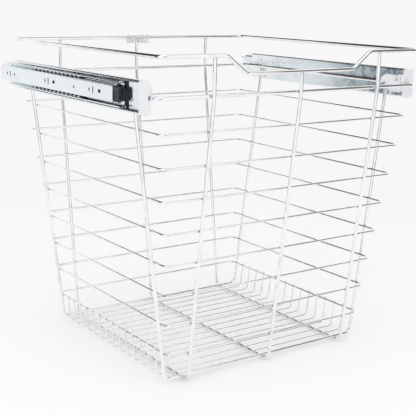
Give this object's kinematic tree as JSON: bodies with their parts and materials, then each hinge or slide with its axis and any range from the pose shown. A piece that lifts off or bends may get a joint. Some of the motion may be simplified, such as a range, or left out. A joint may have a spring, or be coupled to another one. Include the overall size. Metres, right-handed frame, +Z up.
{
  "type": "pull out cabinet basket",
  "caption": "Deep chrome wire basket with sloping walls and a dropped front handle, hung between telescoping ball-bearing slides that pull it out of a cabinet.",
  "frame": {"origin": "centre of the whole part, on the underside of the basket floor", "axes": "+X to the right across the cabinet, -Y out of the cabinet towards the user, +Z up"},
  "size_m": [0.4572, 0.425, 0.4361],
  "materials": {
    "chrome_wire": "polished chrome plating",
    "zinc_steel": "bright bluish zinc plating on rolled sheet",
    "cage_steel": "dull zinc plating with grease",
    "ball_steel": "polished steel balls",
    "black_rubber": "matt black rubber",
    "dark_plastic": "ribbed dark plastic",
    "clip_plastic": "translucent white plastic",
    "clear_plastic": "clear plastic"
  },
  "bodies": {
    "cabinet_rails": {"left_cabinet_rail": "zinc_steel", "right_cabinet_rail": "zinc_steel"},
    "basket": {"top_frame_wire": "chrome_wire", "slide_ring_wire": "chrome_wire", "ring_wire_1": "chrome_wire", "ring_wire_2": "chrome_wire", "ring_wire_3": "chrome_wire", "ring_wire_4": "chrome_wire", "ring_wire_5": "chrome_wire", "ring_wire_6": "chrome_wire", "ring_wire_7": "chrome_wire", "ring_wire_8": "chrome_wire", "left_u_wire": "chrome_wire", "centre_u_wire": "chrome_wire", "right_u_wire": "chrome_wire", "front_cross_wire": "chrome_wire", "rear_cross_wire": "chrome_wire", "floor_wires": "chrome_wire", "frame_sleeve": "clear_plastic", "left_basket_rail": "zinc_steel", "left_bumper": "black_rubber", "left_front_clip": "clip_plastic", "left_rear_clip": "zinc_steel", "right_basket_rail": "zinc_steel", "right_bumper": "black_rubber", "right_front_clip": "clip_plastic", "right_rear_clip": "zinc_steel"},
    "left_intermediate": {"left_intermediate_rail": "zinc_steel", "left_stop_block": "dark_plastic"},
    "left_outer_cage": {"left_outer_ball_cage": "cage_steel", "left_outer_balls": "ball_steel"},
    "left_inner_cage": {"left_inner_ball_cage": "cage_steel", "left_inner_balls": "ball_steel"},
    "right_intermediate": {"right_intermediate_rail": "zinc_steel", "right_stop_block": "dark_plastic"},
    "right_outer_cage": {"right_outer_ball_cage": "cage_steel", "right_outer_balls": "ball_steel"},
    "right_inner_cage": {"right_inner_ball_cage": "cage_steel", "right_inner_balls": "ball_steel"}
  },
  "joints": [
    {"name": "basket_slide", "type": "slide", "parent": "cabinet_rails", "child": "basket", "axis": [0, -1, 0], "range_m": [0, 0.33]},
    {"name": "left_intermediate_slide", "type": "slide", "parent": "cabinet_rails", "child": "left_intermediate", "axis": [0, -1, 0], "range_m": [0, 0.165]},
    {"name": "left_outer_cage_slide", "type": "slide", "parent": "cabinet_rails", "child": "left_outer_cage", "axis": [0, -1, 0], "range_m": [0, 0.2475]},
    {"name": "left_inner_cage_slide", "type": "slide", "parent": "cabinet_rails", "child": "left_inner_cage", "axis": [0, -1, 0], "range_m": [0, 0.0825]},
    {"name": "right_intermediate_slide", "type": "slide", "parent": "cabinet_rails", "child": "right_intermediate", "axis": [0, -1, 0], "range_m": [0, 0.165]},
    {"name": "right_outer_cage_slide", "type": "slide", "parent": "cabinet_rails", "child": "right_outer_cage", "axis": [0, -1, 0], "range_m": [0, 0.2475]},
    {"name": "right_inner_cage_slide", "type": "slide", "parent": "cabinet_rails", "child": "right_inner_cage", "axis": [0, -1, 0], "range_m": [0, 0.0825]}
  ],
  "couplings": [
    {"joint": "left_intermediate_slide", "follows": "basket_slide", "ratio": 0.5},
    {"joint": "left_outer_cage_slide", "follows": "basket_slide", "ratio": 0.75},
    {"joint": "left_inner_cage_slide", "follows": "basket_slide", "ratio": 0.25},
    {"joint": "right_intermediate_slide", "follows": "basket_slide", "ratio": 0.5},
    {"joint": "right_outer_cage_slide", "follows": "basket_slide", "ratio": 0.75},
    {"joint": "right_inner_cage_slide", "follows": "basket_slide", "ratio": 0.25}
  ]
}
